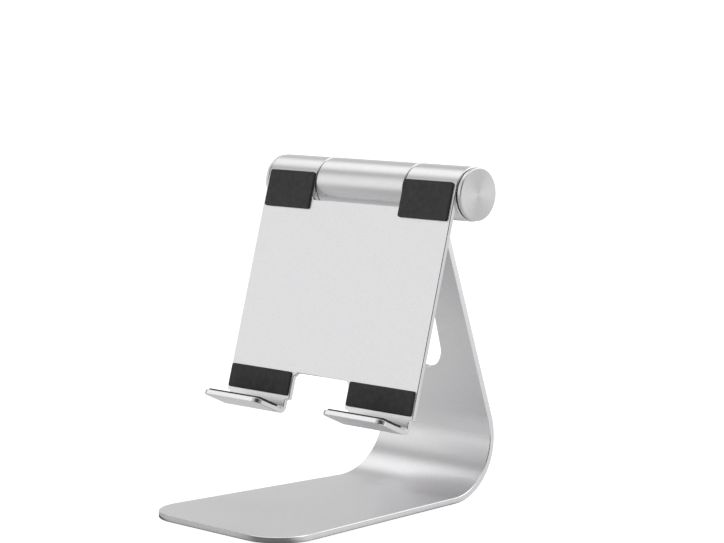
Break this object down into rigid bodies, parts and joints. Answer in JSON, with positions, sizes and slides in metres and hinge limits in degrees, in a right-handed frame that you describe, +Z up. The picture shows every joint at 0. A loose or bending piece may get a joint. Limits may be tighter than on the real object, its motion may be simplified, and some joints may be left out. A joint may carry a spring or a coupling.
{
  "type": "tablet stand",
  "caption": "Desktop tablet stand: a tapering plate bent into foot and leaning arm with a cable slot, and a tilting cradle with padded hooks on a friction hinge.",
  "frame": {"origin": "on the table, under the middle of the stand's outline in X and in Y", "axes": "+X to the right for someone facing the stand and along the hinge; +Y away from them, from the foot's front edge to the bend; +Z up"},
  "size_m": [0.1128, 0.1328, 0.142],
  "materials": {
    "anodised_aluminium": "fine bead-blasted, clear anodised, satin, with bright bevelled edges",
    "turned_aluminium": "face-turned with fine concentric lines, clear anodised",
    "steel": "zinc plated",
    "bronze": "sintered, oiled",
    "friction_liner": "matte",
    "pad_rubber": "matte, soft",
    "foot_rubber": "matte"
  },
  "bodies": {
    "stand_base": {"base_plate": "anodised_aluminium", "foot_pad_front": "foot_rubber", "foot_pad_rear": "foot_rubber", "bush_left": "bronze", "bush_right": "bronze", "friction_washer_left": "friction_liner", "friction_washer_right": "friction_liner"},
    "cradle": {"cradle_plate": "anodised_aluminium", "hinge_bolt": "steel", "lock_nut": "steel", "head_washer": "steel", "spring_seat_washer": "steel", "nut_washer": "steel", "disc_spring_1": "steel", "disc_spring_2": "steel", "disc_spring_3": "steel", "disc_spring_4": "steel", "end_cap_left": "turned_aluminium", "end_cap_right": "turned_aluminium", "upper_pad_left": "pad_rubber", "upper_pad_right": "pad_rubber", "lower_pad_left": "pad_rubber", "lower_pad_right": "pad_rubber", "tray_pad_left": "pad_rubber", "tray_pad_right": "pad_rubber"}
  },
  "joints": [
    {"name": "cradle_tilt", "type": "hinge", "parent": "stand_base", "child": "cradle", "pos_m": [0, 0.02821, 0.131], "axis": [-1, 0, 0], "range_deg": [-30, 75]}
  ]
}
